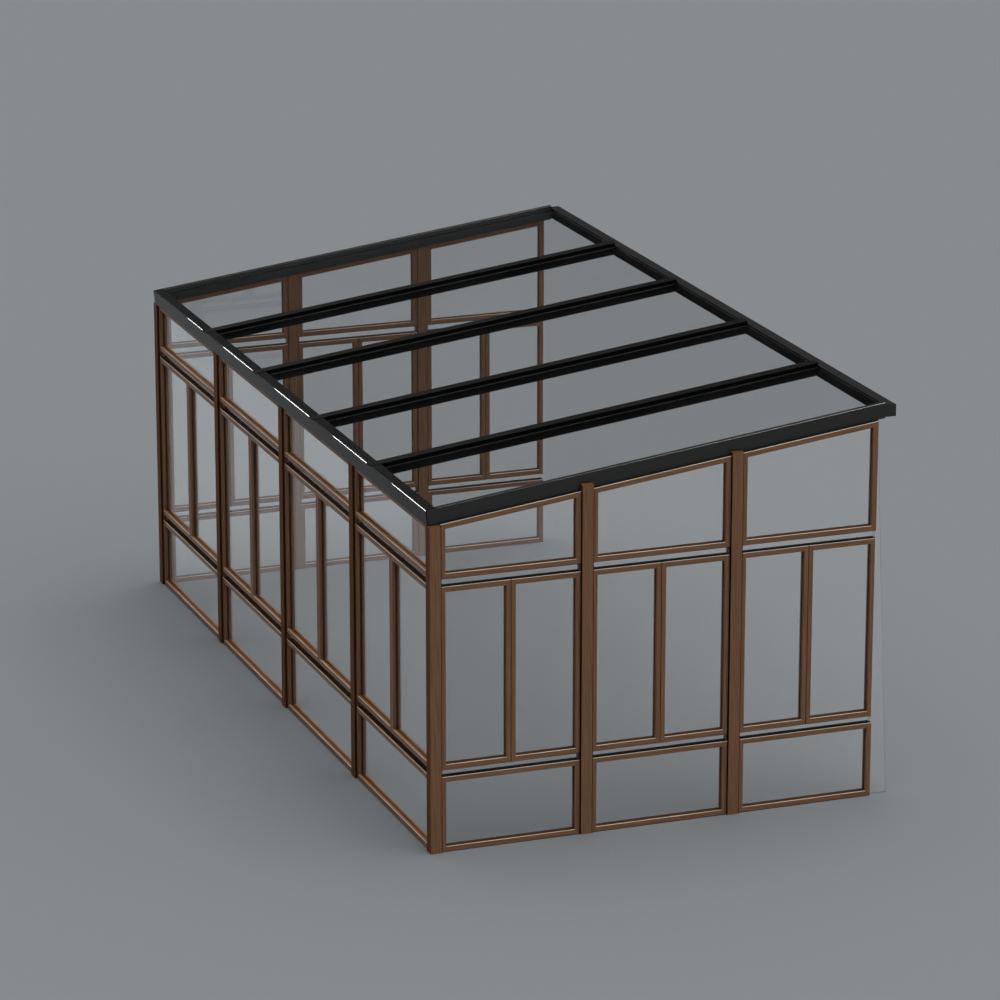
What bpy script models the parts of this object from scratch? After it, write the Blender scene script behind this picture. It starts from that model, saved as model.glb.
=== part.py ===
"""Lean-to conservatory: brown posts and window frames under a black glazed roof.

Metres, +Z up, standing on z = 0 with the origin under the middle of the whole.
The low front wall faces -Y, the glazed end walls face -X and +X, and the open
house side is at +Y, where the wall beam is screwed to the house.

Every piece hangs from one empty that stands at the foot of the front posts'
outer faces. A window bay is drawn as (along, depth, up) and turned into its
wall. A roof member is drawn as (across, up the slope, square to the slope) and
tilted into the roof.
"""
import math

import bmesh
import bpy
from mathutils import Vector

# Plan of the frame
FRONT_BAYS = 4
SIDE_BAYS = 3
FRONT_PITCH = 1.664        # middle to middle of the front posts
SIDE_PITCH = 1.132         # middle to middle of the end wall posts
HOUSE_OVERRUN = 0.145      # roof that runs on past the last end wall frame

# Levels of the three rows of glazing
EAVE_HEIGHT = 2.400        # underside of the eave beam
LOW_TOP = 0.560            # top of the fixed lights on the floor
LOW_STRIP = 0.051          # clear strip from there to the casements
HIGH_STRIP = 0.056         # clear strip over the casements
HIGH_LIGHT = 0.386         # fixed lights of the front wall under the eave beam

# Roof
SLOPE = math.radians(7.18)
BEAM_DEPTH = 0.1125        # eave beam and end beams, square to the slope
EAVE_WIDTH = 0.082
END_BEAM_WIDTH = 0.045
ROOF_INSET = 0.044         # end beams behind the outer faces of the end wall posts
RAFTER_WIDTH = 0.090
RAFTER_DEPTH = 0.094
RAFTER_CAP = 0.004         # rafters stand above the eave beam and run out over it
RAFTER_SHARES = (0.2136, 0.4115, 0.6233, 0.8207)   # rafter middles as shares of the span
WALL_BEAM_WIDTH = 0.085
WALL_BEAM_DEPTH = 0.088
WALL_BEAM_DROP = 0.0175    # top of the wall beam under the tops of the end beams
POST_LIPS = (0.047, 0.024)  # end wall posts stand up in front of the end beam by this much

# Window frames
FRAME_SETBACK = 0.017      # frames behind the outer faces of the posts
FRAME_DEPTH = 0.060
POST_MARGIN = 0.007        # posts go this much deeper than the frames
FACE_WIDTH = 0.037         # flat face of a stile or rail
BEAD_WIDTH = 0.018         # stepped glazing bead inside the flat face
BEAD_STEP = 0.009          # bead behind the flat face
EDGE_WEB = 0.005           # solid edge of a frame, outside the glass
MEETING_GROOVE = 0.004     # joint line between the two casements
GROOVE_DEPTH = 0.012

# Glass
WALL_GLASS = 0.008
ROOF_GLASS = 0.008
ROOF_GLASS_DROP = 0.030    # top of the roof glass under the tops of the end beams
GLASS_BITE = 0.012         # glass inside a roof groove
GROOVE_BITE = 0.015        # depth of a roof groove
CLOSING_FOOT = 0.138       # foot of the tapered pane between an end wall and the house

# Finish of the edges and the fit
ARRIS = 0.0035             # rounded edges of the frames
BEAM_ARRIS = 0.004         # rounded edges of the roof members
EAVE_ARRIS = 0.006         # rounded top edge of the eave beam, outside
POST_ARRIS = 0.003
ARC_STEPS = 2
GAP = 0.0003               # between pieces that meet

# Sizes that follow
SIN, COS, TAN = math.sin(SLOPE), math.cos(SLOPE), math.tan(SLOPE)
POST_SIZE = FRAME_SETBACK + FRAME_DEPTH + POST_MARGIN
SASH_BASE = LOW_TOP + LOW_STRIP
HIGH_BASE = EAVE_HEIGHT - HIGH_LIGHT
SASH_TOP = HIGH_BASE - HIGH_STRIP
EASE = GAP / 3             # cutters stay this much inside a slot that they open further
LENGTH = FRONT_BAYS * FRONT_PITCH + POST_SIZE
SIDE_FRAME_END = SIDE_BAYS * SIDE_PITCH
HOUSE_PLANE = SIDE_FRAME_END + HOUSE_OVERRUN
WALL_BEAM_FACE = HOUSE_PLANE - WALL_BEAM_WIDTH
EAVE_NOSE = -(BEAM_DEPTH + RAFTER_CAP) * SIN
ORIGIN_Y = (EAVE_NOSE + HOUSE_PLANE) / 2
ROOF_END = LENGTH / 2 - ROOF_INSET
GLASS_BASE = BEAM_DEPTH - ROOF_GLASS_DROP - ROOF_GLASS
GROOVE_LOW = GLASS_BASE - GAP
GROOVE_HIGH = GLASS_BASE + ROOF_GLASS + GAP
SLOT_LOW = (FRAME_DEPTH - WALL_GLASS) / 2 - GAP
SLOT_HIGH = FRAME_DEPTH - SLOT_LOW
JAMB_WIDTH = 2 * EDGE_WEB + GAP      # upright that ties the two fixed lights of a bay
GLASS_EDGE = JAMB_WIDTH + GAP        # from the edge of the frame to the edge of its glass

BROWN = (0.105, 0.058, 0.038)
BLACK = (0.022, 0.023, 0.025)
CLEAR = (0.80, 0.84, 0.85)


def make_material(name, colour, roughness, metallic, alpha=1.0):
    """A plain Principled material."""
    material = bpy.data.materials.new(name)
    material.use_nodes = True
    shader = material.node_tree.nodes["Principled BSDF"]
    shader.inputs["Base Color"].default_value = (*colour, 1.0)
    shader.inputs["Roughness"].default_value = roughness
    shader.inputs["Metallic"].default_value = metallic
    shader.inputs["Alpha"].default_value = alpha
    return material


def make_finishes():
    """The three finishes of the building."""
    return {
        "brown": make_material("brown_frame", BROWN, 0.45, 0.3),
        "black": make_material("black_roof", BLACK, 0.4, 0.4),
        "clear": make_material("clear_glass", CLEAR, 0.05, 0.0, 0.35),
    }


def add_object(name, bm, material, parent, location, turn=0.0, tilt=0.0):
    """Links a finished body under its own name, turned about Z and tilted about X."""
    bmesh.ops.remove_doubles(bm, verts=bm.verts, dist=1e-6)
    bmesh.ops.recalc_face_normals(bm, faces=bm.faces)
    mesh = bpy.data.meshes.new(name)
    bm.to_mesh(mesh)
    bm.free()
    mesh.materials.append(material)
    obj = bpy.data.objects.new(name, mesh)
    obj.parent = parent
    obj.location = location
    obj.rotation_euler = (tilt, 0.0, turn)
    bpy.context.scene.collection.objects.link(obj)
    return obj


def prism(outline, start, end, place):
    """Extrudes a closed outline of (a, b) points from start to end.

    place turns (a, b, t) into a point of the piece.
    """
    bm = bmesh.new()
    rings = [[bm.verts.new(place(a, b, t)) for a, b in outline] for t in (start, end)]
    bm.faces.new(rings[0])
    bm.faces.new(reversed(rings[1]))
    count = len(outline)
    for i in range(count):
        j = (i + 1) % count
        bm.faces.new((rings[0][j], rings[0][i], rings[1][i], rings[1][j]))
    return bm


def plan(a, b, t):
    """Places an outline of (x, y) points at a level."""
    return (a, b, t)


def upright(a, b, t):
    """Places an outline of (along, up) points at a depth."""
    return (a, t, b)


def endwise(a, b, t):
    """Places an outline of (y, z) points at an x."""
    return (t, a, b)


def box(low, high):
    """A box between two corners."""
    outline = [(low[0], low[1]), (high[0], low[1]), (high[0], high[1]), (low[0], high[1])]
    return prism(outline, low[2], high[2], plan)


def round_corners(outline, radii):
    """Replaces each corner of an outline by an arc of its own radius, 0 for a sharp one."""
    points = []
    count = len(outline)
    for i, radius in enumerate(radii):
        here = Vector(outline[i])
        if radius <= 0:
            points.append(tuple(here))
            continue
        to_last = (Vector(outline[i - 1]) - here).normalized()
        to_next = (Vector(outline[(i + 1) % count]) - here).normalized()
        half = to_last.angle(to_next) / 2
        reach = radius / math.tan(half)
        centre = here + (to_last + to_next).normalized() * radius / math.sin(half)
        first = here + to_last * reach - centre
        turn = (math.pi - 2 * half) / ARC_STEPS
        side = 1 if to_last.x * to_next.y - to_last.y * to_next.x < 0 else -1
        for k in range(ARC_STEPS + 1):
            angle = side * turn * k
            spun = Vector((first.x * math.cos(angle) - first.y * math.sin(angle),
                           first.x * math.sin(angle) + first.y * math.cos(angle)))
            points.append(tuple(centre + spun))
    return points


def combine(bm, tool, operation):
    """Joins or cuts one body with another, exactly."""
    objects = []
    for source in (bm, tool):
        bmesh.ops.remove_doubles(source, verts=source.verts, dist=1e-6)
        bmesh.ops.recalc_face_normals(source, faces=source.faces)
        mesh = bpy.data.meshes.new("work")
        source.to_mesh(mesh)
        source.free()
        obj = bpy.data.objects.new("work", mesh)
        bpy.context.scene.collection.objects.link(obj)
        objects.append(obj)
    modifier = objects[0].modifiers.new("combine", "BOOLEAN")
    modifier.operation = operation
    modifier.solver = "EXACT"
    modifier.object = objects[1]
    depsgraph = bpy.context.evaluated_depsgraph_get()
    result = bmesh.new()
    result.from_mesh(objects[0].evaluated_get(depsgraph).to_mesh())
    for obj in objects:
        mesh = obj.data
        bpy.data.objects.remove(obj)
        bpy.data.meshes.remove(mesh)
    return result


def frame_profile():
    """Section of a stile or rail as (distance from the outer edge, depth) points.

    The glass slot opens to the inside edge, behind a web along the outer edge.
    """
    reach = FACE_WIDTH + BEAD_WIDTH
    outline = [
        (0, 0), (FACE_WIDTH, 0), (FACE_WIDTH, BEAD_STEP), (reach, BEAD_STEP),
        (reach, SLOT_LOW), (EDGE_WEB, SLOT_LOW), (EDGE_WEB, SLOT_HIGH), (reach, SLOT_HIGH),
        (reach, FRAME_DEPTH - BEAD_STEP), (FACE_WIDTH, FRAME_DEPTH - BEAD_STEP),
        (FACE_WIDTH, FRAME_DEPTH), (0, FRAME_DEPTH),
    ]
    radii = [ARRIS, ARRIS, 0, ARRIS, 0, 0, 0, 0, ARRIS, 0, ARRIS, ARRIS]
    return round_corners(outline, radii)


def inset_corner(corners, index, distance):
    """Point inside a corner of an outline, at one distance from both its sides."""
    here = Vector(corners[index])
    before = (here - Vector(corners[index - 1])).normalized()
    after = (Vector(corners[(index + 1) % len(corners)]) - here).normalized()
    normal = Vector((-before.y, before.x)) + Vector((-after.y, after.x))
    return here + normal * (distance / (1 + before.dot(after)))


def ring(corners):
    """A mitred window frame round an outline of (along, up) corners, counter-clockwise."""
    bm = bmesh.new()
    profile = frame_profile()
    loops = []
    for i in range(len(corners)):
        loop = []
        for distance, depth in profile:
            point = inset_corner(corners, i, distance)
            loop.append(bm.verts.new((point.x, depth, point.y)))
        loops.append(loop)
    count = len(profile)
    for i, loop in enumerate(loops):
        following = loops[(i + 1) % len(loops)]
        for k in range(count):
            j = (k + 1) % count
            bm.faces.new((loop[k], following[k], following[j], loop[j]))
    return bm


def rectangle(left, right, base, top):
    """Corners of an upright rectangle, counter-clockwise."""
    return [(left, base), (right, base), (right, top), (left, top)]


def slot_cutter(width, base, top):
    """Cuts the glass slot of a bay through the rails between two levels."""
    left = JAMB_WIDTH + EASE
    return box((left, SLOT_LOW + EASE, base), (width - left, SLOT_HIGH - EASE, top))


def fixed_frame(width, head, rise, open_end):
    """The two fixed lights of a bay, tied by a jamb along each post.

    head is the level of the frame's top at the start of the bay, rise its slope. A bay with an open end
    has a jamb at its start only.
    """
    lap = FACE_WIDTH / 2
    low = ring(rectangle(0, width, 0, LOW_TOP))
    high = ring([(0, HIGH_BASE), (width, HIGH_BASE), (width, head + width * rise), (0, head)])
    sink = EDGE_WEB / 2
    edge = EDGE_WEB - EASE
    jamb = [
        (edge, LOW_TOP - lap), (edge, LOW_TOP - sink), (JAMB_WIDTH, LOW_TOP - sink),
        (JAMB_WIDTH, SASH_BASE - GAP), (edge, SASH_BASE - GAP), (edge, SASH_TOP + GAP),
        (JAMB_WIDTH, SASH_TOP + GAP), (JAMB_WIDTH, HIGH_BASE + sink), (edge, HIGH_BASE + sink),
        (edge, HIGH_BASE + lap), (EASE, HIGH_BASE + lap), (EASE, LOW_TOP - lap),
    ]
    mirrored = [(width - a, b) for a, b in reversed(jamb)]
    bm = low
    for outline in (jamb,) if open_end else (jamb, mirrored):
        bm = combine(bm, prism(outline, BEAD_STEP, FRAME_DEPTH - BEAD_STEP, upright), "UNION")
    bm = combine(bm, high, "UNION")
    return combine(bm, slot_cutter(width, LOW_TOP - lap, HIGH_BASE + lap), "DIFFERENCE")


def casement_pair(width):
    """Two casements that meet in the middle of a bay, as one body."""
    left = EDGE_WEB + GAP
    middle = width / 2
    half = MEETING_GROOVE / 2
    lap = half + FACE_WIDTH / 4
    bm = ring(rectangle(left, middle - half, SASH_BASE, SASH_TOP))
    for shallow, deep in ((GROOVE_DEPTH, SLOT_LOW), (SLOT_HIGH, FRAME_DEPTH - GROOVE_DEPTH)):
        strip = box((middle - lap, shallow, SASH_BASE + ARRIS),
                    (middle + lap, deep, SASH_TOP - ARRIS))
        bm = combine(bm, strip, "UNION")
    other = ring(rectangle(middle + half, width - left, SASH_BASE, SASH_TOP))
    bm = combine(bm, other, "UNION")
    return combine(bm, slot_cutter(width, SASH_BASE - ARRIS, SASH_TOP + ARRIS), "DIFFERENCE")


def bay_glass(width, head, rise):
    """The one sheet of glass behind the rows of a bay."""
    start, end = GLASS_EDGE, width - GLASS_EDGE
    base = EDGE_WEB + GAP
    top = head - EDGE_WEB / math.cos(math.atan(rise)) - GAP
    outline = [(start, base), (end, base), (end, top + end * rise), (start, top + start * rise)]
    return prism(outline, SLOT_LOW + GAP, SLOT_HIGH - GAP, upright)


def hang_in_wall(name, bm, material, parent, wall, start):
    """Turns a piece drawn as (along, depth, up) into its wall, start along from the corner."""
    if wall == "front":
        add_object(name, bm, material, parent, (start - LENGTH / 2, FRAME_SETBACK, 0))
        return
    side = 1 if wall == "right" else -1
    if side < 0:
        for vertex in bm.verts:
            vertex.co.x = -vertex.co.x
        bmesh.ops.reverse_faces(bm, faces=bm.faces)
    place = (side * (LENGTH / 2 - FRAME_SETBACK), start, 0)
    add_object(name, bm, material, parent, place, turn=side * math.pi / 2)


def build_bay(wall, number, pitch, rise, finishes, parent):
    """Fixed frame, casements and glass of one bay of a wall."""
    start = (number - 1) * pitch + POST_SIZE + GAP
    width = pitch - POST_SIZE - 2 * GAP
    head = EAVE_HEIGHT + start * rise - GAP / COS
    open_end = wall != "front" and number == SIDE_BAYS
    pieces = (
        ("frame", fixed_frame(width, head, rise, open_end), finishes["brown"]),
        ("casements", casement_pair(width), finishes["brown"]),
        ("glass", bay_glass(width, head, rise), finishes["clear"]),
    )
    for kind, bm, material in pieces:
        hang_in_wall(f"{wall}_{kind}_{number}", bm, material, parent, wall, start)


def build_closing_pane(wall, finish, parent):
    """Tapered pane between the last frame of an end wall and the house."""
    start = SIDE_FRAME_END + GAP
    head = EAVE_HEIGHT + start * TAN - EDGE_WEB
    outline = [(0, 0), (CLOSING_FOOT, 0), (EDGE_WEB, head), (0, head)]
    bm = prism(outline, SLOT_LOW + GAP, SLOT_HIGH - GAP, upright)
    hang_in_wall(f"{wall}_closing_pane", bm, finish, parent, wall, start)


def post_outline():
    """Square plan of a post with rounded edges."""
    return round_corners(rectangle(0, POST_SIZE, 0, POST_SIZE), [POST_ARRIS] * 4)


def build_front_posts(finish, parent):
    """Posts of the front wall, both corners among them."""
    names = ["corner_post_left"]
    names += [f"front_post_{i}" for i in range(1, FRONT_BAYS)]
    names += ["corner_post_right"]
    for i, name in enumerate(names):
        bm = prism(post_outline(), 0, EAVE_HEIGHT - GAP, plan)
        add_object(name, bm, finish, parent, (i * FRONT_PITCH - LENGTH / 2, 0, 0))


def build_side_posts(wall, finish, parent):
    """Posts of an end wall, notched under the end beam with a lip in front of it."""
    for i, lip in enumerate(POST_LIPS, start=1):
        y = i * SIDE_PITCH
        under = EAVE_HEIGHT + y * TAN
        bm = prism(post_outline(), 0, under + lip, plan)
        low = under - POST_SIZE * TAN - GAP / COS
        high = under + 2 * POST_SIZE * TAN - GAP / COS
        clear = under + 2 * lip + POST_SIZE
        notch = [(-POST_SIZE, low), (2 * POST_SIZE, high), (2 * POST_SIZE, clear), (-POST_SIZE, clear)]
        if wall == "right":
            x = LENGTH / 2 - POST_SIZE
            reach = (-POST_SIZE, POST_SIZE - ROOF_INSET + GAP)
        else:
            x = -LENGTH / 2
            reach = (ROOF_INSET - GAP, 2 * POST_SIZE)
        bm = combine(bm, prism(notch, *reach, endwise), "DIFFERENCE")
        add_object(f"{wall}_post_{i}", bm, finish, parent, (x, y, 0))


def slope_length(y, h):
    """Distance up the slope at which a line h over the roof's underside reaches a depth y."""
    return (y + h * SIN) / COS


def up_the_slope(start, end):
    """Places (across, height) points between square cut and plumb cut.

    start is the distance up the slope of the lower end, end the depth y of the plumb upper end.
    """
    def place(a, b, t):
        """t is 0 at the lower end and 1 at the upper end."""
        return (a, slope_length(end, b) if t else start, b)
    return place


def build_eave_beam(finish, parent):
    """Beam along the front, square to the slope outside and level underneath."""
    outline = [
        (0, 0), (EAVE_WIDTH, -EAVE_WIDTH * TAN), (EAVE_WIDTH, GROOVE_LOW),
        (EAVE_WIDTH - GROOVE_BITE, GROOVE_LOW), (EAVE_WIDTH - GROOVE_BITE, GROOVE_HIGH),
        (EAVE_WIDTH, GROOVE_HIGH), (EAVE_WIDTH, BEAM_DEPTH), (0, BEAM_DEPTH),
    ]
    radii = [0, 0, 0, 0, 0, 0, BEAM_ARRIS, EAVE_ARRIS]
    bm = prism(round_corners(outline, radii), -ROOF_END, ROOF_END, endwise)
    add_object("eave_beam", bm, finish, parent, (0, 0, EAVE_HEIGHT), tilt=SLOPE)


def build_wall_beam(finish, parent):
    """Level beam along the house, a little lower than the rafters."""
    top = BEAM_DEPTH / COS - WALL_BEAM_DROP
    low, high = GROOVE_LOW / COS, GROOVE_HIGH / COS
    rise = GROOVE_BITE * TAN
    outline = [
        (0, top - WALL_BEAM_DEPTH), (WALL_BEAM_WIDTH, top - WALL_BEAM_DEPTH),
        (WALL_BEAM_WIDTH, top), (0, top), (0, high), (GROOVE_BITE, high + rise),
        (GROOVE_BITE, low + rise), (0, low),
    ]
    radii = [BEAM_ARRIS, 0, BEAM_ARRIS, BEAM_ARRIS, 0, 0, 0, 0]
    bm = prism(round_corners(outline, radii), -ROOF_END, ROOF_END, endwise)
    place = (0, WALL_BEAM_FACE, EAVE_HEIGHT + WALL_BEAM_FACE * TAN)
    add_object("wall_beam", bm, finish, parent, place)


def build_end_beam(name, side, finish, parent):
    """Half-width beam over an end wall, grooved on its inner side."""
    inner = -side * END_BEAM_WIDTH
    bite = inner + side * GROOVE_BITE
    outline = [
        (0, 0), (0, BEAM_DEPTH), (inner, BEAM_DEPTH), (inner, GROOVE_HIGH),
        (bite, GROOVE_HIGH), (bite, GROOVE_LOW), (inner, GROOVE_LOW), (inner, 0),
    ]
    radii = [0, BEAM_ARRIS, BEAM_ARRIS, 0, 0, 0, 0, 0]
    place = up_the_slope(EAVE_WIDTH + GAP, WALL_BEAM_FACE - GAP)
    bm = prism(round_corners(outline, radii), 0, 1, place)
    add_object(name, bm, finish, parent, (side * ROOF_END, 0, EAVE_HEIGHT), tilt=SLOPE)


def rafter_middles():
    """Middle of each rafter, from the left, between the middles of the end beams."""
    reach = ROOF_END - END_BEAM_WIDTH / 2
    return [(2 * share - 1) * reach for share in RAFTER_SHARES]


def build_rafter(name, middle, finish, parent):
    """Rafter with a glazing groove along each side and a tongue out over the eave beam."""
    half = RAFTER_WIDTH / 2
    top = BEAM_DEPTH + RAFTER_CAP
    right = [
        (half, BEAM_DEPTH - RAFTER_DEPTH), (half, GROOVE_LOW), (half - GROOVE_BITE, GROOVE_LOW),
        (half - GROOVE_BITE, GROOVE_HIGH), (half, GROOVE_HIGH), (half, top),
    ]
    radii = [BEAM_ARRIS, 0, 0, 0, 0, BEAM_ARRIS - GAP]
    outline = right + [(-a, b) for a, b in reversed(right)]
    section = round_corners(outline, radii + radii[::-1])
    bm = prism(section, 0, 1, up_the_slope(EAVE_WIDTH + GAP, WALL_BEAM_FACE - GAP))
    tongue = round_corners(rectangle(-half, half, BEAM_DEPTH + GAP, top),
                           [0, 0, RAFTER_CAP - GAP, RAFTER_CAP - GAP])
    bm = combine(bm, prism(tongue, 0, 2 * EAVE_WIDTH, upright), "UNION")
    add_object(name, bm, finish, parent, (middle, 0, EAVE_HEIGHT), tilt=SLOPE)


def build_roof_glass(finish, parent):
    """A pane in the grooves of each roof bay."""
    half = RAFTER_WIDTH / 2
    last = ROOF_END - END_BEAM_WIDTH
    left_faces = [-last] + [middle + half for middle in rafter_middles()]
    right_faces = [middle - half for middle in rafter_middles()] + [last]
    place = up_the_slope(EAVE_WIDTH - GLASS_BITE, WALL_BEAM_FACE + GLASS_BITE)
    for number, (left, right) in enumerate(zip(left_faces, right_faces), start=1):
        reach = (right - left) / 2 + GLASS_BITE
        outline = rectangle(-reach, reach, GLASS_BASE, GLASS_BASE + ROOF_GLASS)
        middle = (left + right) / 2
        add_object(f"roof_glass_{number}", prism(outline, 0, 1, place), finish, parent,
                   (middle, 0, EAVE_HEIGHT), tilt=SLOPE)


def main():
    """Builds every piece."""
    for obj in list(bpy.data.objects):
        bpy.data.objects.remove(obj)
    conservatory = bpy.data.objects.new("conservatory", None)
    conservatory.location = (0, -ORIGIN_Y, 0)
    bpy.context.scene.collection.objects.link(conservatory)
    finishes = make_finishes()
    build_front_posts(finishes["brown"], conservatory)
    for number in range(1, FRONT_BAYS + 1):
        build_bay("front", number, FRONT_PITCH, 0, finishes, conservatory)
    for wall in ("left", "right"):
        build_side_posts(wall, finishes["brown"], conservatory)
        for number in range(1, SIDE_BAYS + 1):
            build_bay(wall, number, SIDE_PITCH, TAN, finishes, conservatory)
        build_closing_pane(wall, finishes["clear"], conservatory)
    build_eave_beam(finishes["black"], conservatory)
    build_wall_beam(finishes["black"], conservatory)
    build_end_beam("left_end_beam", -1, finishes["black"], conservatory)
    build_end_beam("right_end_beam", 1, finishes["black"], conservatory)
    for number, middle in enumerate(rafter_middles(), start=1):
        build_rafter(f"rafter_{number}", middle, finishes["black"], conservatory)
    build_roof_glass(finishes["clear"], conservatory)


main()
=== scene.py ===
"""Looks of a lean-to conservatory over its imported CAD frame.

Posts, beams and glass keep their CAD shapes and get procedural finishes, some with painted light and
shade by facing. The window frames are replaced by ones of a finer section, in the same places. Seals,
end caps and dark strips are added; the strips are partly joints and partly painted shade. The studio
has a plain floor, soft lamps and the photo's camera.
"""

import logging
import math
from dataclasses import dataclass
from enum import Enum
from typing import Callable, Iterable, Sequence

import bmesh
import bpy
from bmesh.types import BMesh
from bpy.types import Material
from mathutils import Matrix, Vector


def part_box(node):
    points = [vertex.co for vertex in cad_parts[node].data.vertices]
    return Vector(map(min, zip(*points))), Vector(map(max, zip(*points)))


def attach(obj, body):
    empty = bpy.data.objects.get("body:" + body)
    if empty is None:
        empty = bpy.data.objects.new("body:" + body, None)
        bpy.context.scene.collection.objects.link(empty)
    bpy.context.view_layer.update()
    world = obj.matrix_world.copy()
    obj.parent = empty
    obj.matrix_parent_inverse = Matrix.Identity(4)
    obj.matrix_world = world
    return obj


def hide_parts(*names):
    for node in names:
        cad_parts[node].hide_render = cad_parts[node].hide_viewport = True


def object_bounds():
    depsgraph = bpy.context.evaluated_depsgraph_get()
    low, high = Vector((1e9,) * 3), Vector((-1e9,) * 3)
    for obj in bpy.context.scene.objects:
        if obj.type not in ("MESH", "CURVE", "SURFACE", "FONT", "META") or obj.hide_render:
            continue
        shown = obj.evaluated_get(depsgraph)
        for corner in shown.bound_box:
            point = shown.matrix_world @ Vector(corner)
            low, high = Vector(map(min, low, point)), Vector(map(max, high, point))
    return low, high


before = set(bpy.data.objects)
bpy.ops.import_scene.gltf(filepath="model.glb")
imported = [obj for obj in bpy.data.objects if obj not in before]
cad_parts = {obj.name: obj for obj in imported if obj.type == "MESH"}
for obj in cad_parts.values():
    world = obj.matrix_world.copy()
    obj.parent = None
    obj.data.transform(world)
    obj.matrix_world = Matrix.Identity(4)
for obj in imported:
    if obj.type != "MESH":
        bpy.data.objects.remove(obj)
CAD_LOW, CAD_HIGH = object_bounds()
LOG = logging.getLogger("conservatory")

Colour = tuple[float, float, float]
Point2 = tuple[float, float]
Point3 = tuple[float, float, float]
Placer = Callable[[float, float, float], Point3]
Number = float


class Wall(Enum):
    """The three glazed walls."""

    FRONT = "front"
    LEFT = "left"
    RIGHT = "right"


class Row(Enum):
    """The two kinds of window frame."""

    FIXED = "fixed"
    CASEMENTS = "casements"


@dataclass(frozen=True)
class Sizes:
    """Sizes of the building that its finishes and seals follow, in metres."""

    front_pitch: float = 1.664
    side_pitch: float = 1.132
    post: float = 0.084
    front_bays: int = 4
    side_bays: int = 3
    low_top: float = 0.560
    sash_base: float = 0.611
    sash_top: float = 1.958
    high_base: float = 2.014
    eave: float = 2.400
    slope: float = math.radians(7.18)
    beam_depth: float = 0.1125
    frame_depth: float = 0.060
    flat: float = 0.040
    casement_rail: float = 0.041
    casement_stile: float = 0.034
    setback: float = 0.017
    edge_web: float = 0.005
    jamb: float = 0.0103
    meeting: float = 0.004
    arris: float = 0.0035
    roof_inset: float = 0.044
    eave_width: float = 0.082
    glass: float = 0.008
    gap: float = 0.0003

    @property
    def glass_front(self) -> float:
        """Depth of the outer face of the wall glass behind the frames' faces."""
        return (self.frame_depth - self.glass) / 2

    @property
    def glass_back(self) -> float:
        """Depth of the inner face of the wall glass behind the frames' faces."""
        return (self.frame_depth + self.glass) / 2

    @property
    def inner_arris(self) -> float:
        """Depth at which the frames' inner arrises begin."""
        return self.frame_depth - self.arris - 0.0005

    def bays(self, wall: Wall) -> int:
        """Number of bays in a wall."""
        return self.front_bays if wall is Wall.FRONT else self.side_bays

    def pitch(self, wall: Wall) -> float:
        """Width of a bay with its post."""
        return self.front_pitch if wall is Wall.FRONT else self.side_pitch

    def rise(self, wall: Wall) -> float:
        """Slope of a wall's head, as rise over run."""
        return 0.0 if wall is Wall.FRONT else math.tan(self.slope)


SIZES = Sizes()
START_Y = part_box("corner_post_left")[0].y
DEEP_BLACK: Colour = (0.0020, 0.0018, 0.0015)


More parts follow.
